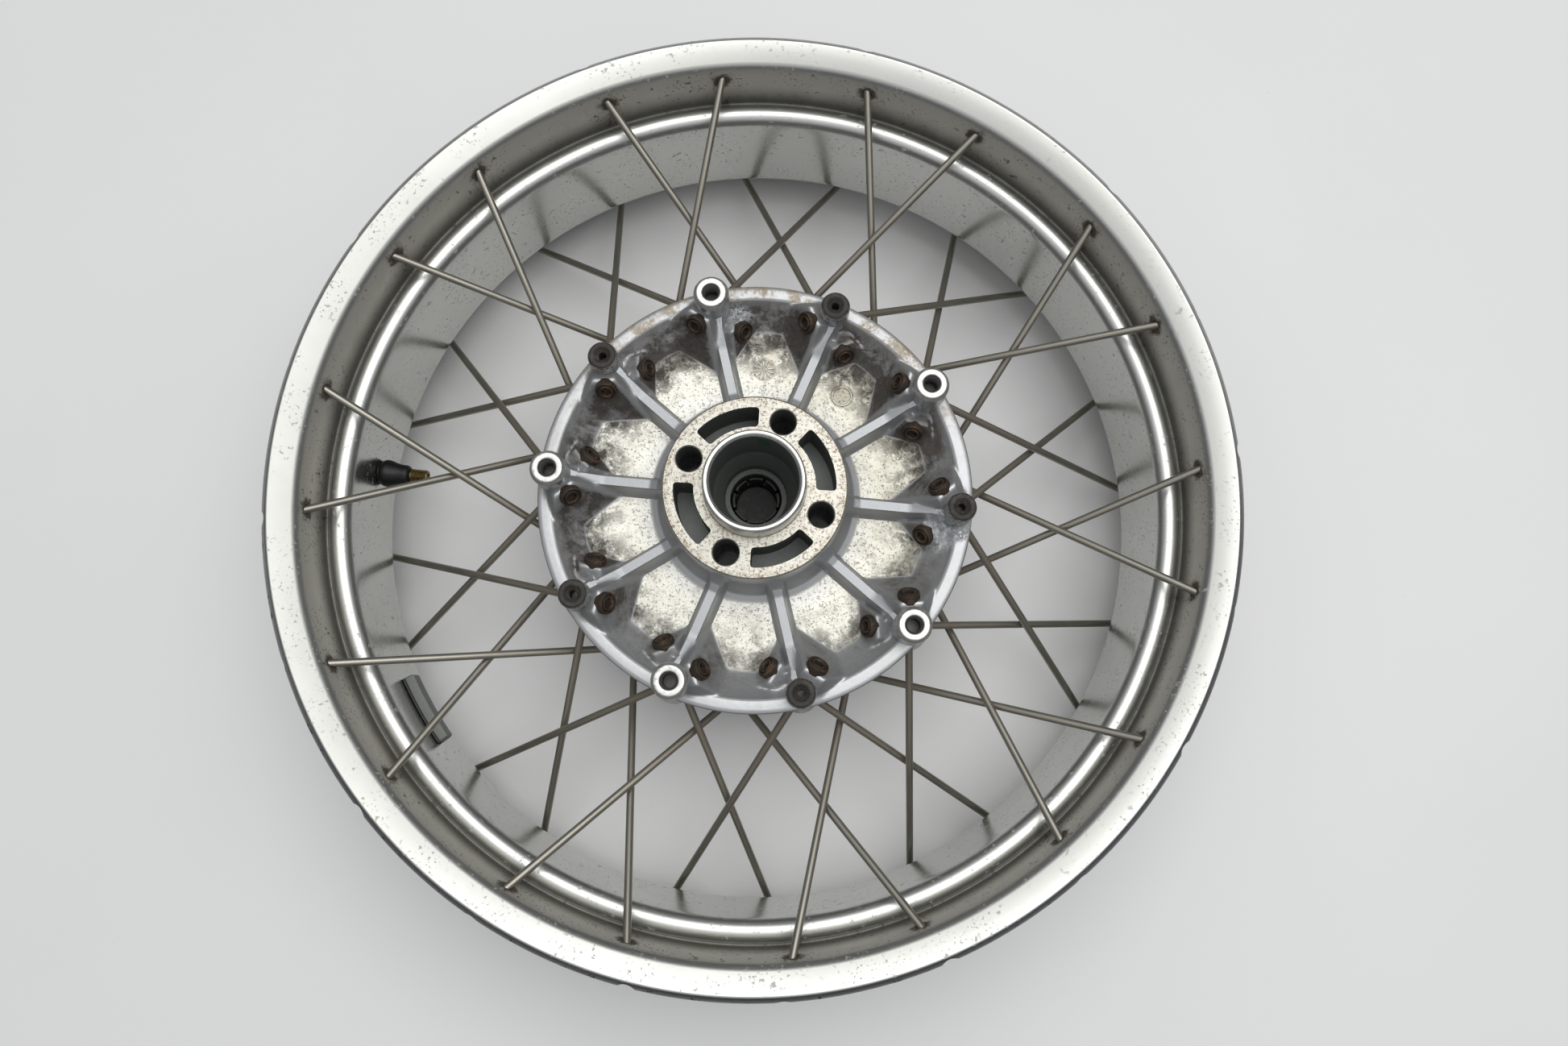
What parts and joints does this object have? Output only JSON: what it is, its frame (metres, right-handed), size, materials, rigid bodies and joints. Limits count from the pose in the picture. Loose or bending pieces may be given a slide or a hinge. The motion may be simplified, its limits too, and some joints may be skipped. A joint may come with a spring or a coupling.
{
  "type": "motorcycle wheel",
  "caption": "Spoked rear wheel: rim with outer lips, crossed straight spokes, ribbed hub casting that bolts to a final drive, snap-in valve, centre cap and balance weight.",
  "frame": {"origin": "on the axle line, at the level of the rim's lower lip, where the wheel lies on a table", "axes": "+Z along the axle toward the side that bolts to the final drive; the valve is near -X"},
  "size_m": [0.4652, 0.4652, 0.1392],
  "materials": {
    "rim_alloy": "satin and polished",
    "silver_alloy": "silver paint over cast alloy, stained",
    "spoke_steel": "dull stainless",
    "rusted_steel": "rusted",
    "black_plastic": "matte",
    "rubber": "matte",
    "brass": "dull",
    "bright_steel": "bright",
    "zinc": "grey metal",
    "foam_tape": "matte"
  },
  "bodies": {
    "wheel": {"rim": "rim_alloy", "hub": "silver_alloy", "spoke_upper_01": "spoke_steel", "spoke_upper_02": "spoke_steel", "spoke_upper_03": "spoke_steel", "spoke_upper_04": "spoke_steel", "spoke_upper_05": "spoke_steel", "spoke_upper_06": "spoke_steel", "spoke_upper_07": "spoke_steel", "spoke_upper_08": "spoke_steel", "spoke_upper_09": "spoke_steel", "spoke_upper_10": "spoke_steel", "spoke_upper_11": "spoke_steel", "spoke_upper_12": "spoke_steel", "spoke_upper_13": "spoke_steel", "spoke_upper_14": "spoke_steel", "spoke_upper_15": "spoke_steel", "spoke_upper_16": "spoke_steel", "spoke_upper_17": "spoke_steel", "spoke_upper_18": "spoke_steel", "spoke_upper_19": "spoke_steel", "spoke_upper_20": "spoke_steel", "spoke_lower_01": "spoke_steel", "spoke_lower_02": "spoke_steel", "spoke_lower_03": "spoke_steel", "spoke_lower_04": "spoke_steel", "spoke_lower_05": "spoke_steel", "spoke_lower_06": "spoke_steel", "spoke_lower_07": "spoke_steel", "spoke_lower_08": "spoke_steel", "spoke_lower_09": "spoke_steel", "spoke_lower_10": "spoke_steel", "spoke_lower_11": "spoke_steel", "spoke_lower_12": "spoke_steel", "spoke_lower_13": "spoke_steel", "spoke_lower_14": "spoke_steel", "spoke_lower_15": "spoke_steel", "spoke_lower_16": "spoke_steel", "spoke_lower_17": "spoke_steel", "spoke_lower_18": "spoke_steel", "spoke_lower_19": "spoke_steel", "spoke_lower_20": "spoke_steel", "valve_body": "rubber", "valve_stem": "brass", "valve_core": "brass", "boss_insert_1": "rusted_steel", "boss_insert_2": "rusted_steel", "boss_insert_3": "rusted_steel", "boss_insert_4": "rusted_steel", "boss_insert_5": "rusted_steel", "balance_weight": "zinc", "balance_weight_tape": "foam_tape"},
    "valve_pin": {"valve_core_pin": "bright_steel"},
    "cap": {"centre_cap": "black_plastic"}
  },
  "joints": [
    {"name": "valve_pin_press", "type": "slide", "parent": "wheel", "child": "valve_pin", "axis": [-0.9951, 0.0993, 0], "range_m": [0, 0.0015], "stiffness_N_per_m": 800, "springref_m": -0.001},
    {"name": "centre_cap_pull", "type": "slide", "parent": "wheel", "child": "cap", "axis": [0, 0, -1], "range_m": [0, 0.025]}
  ]
}
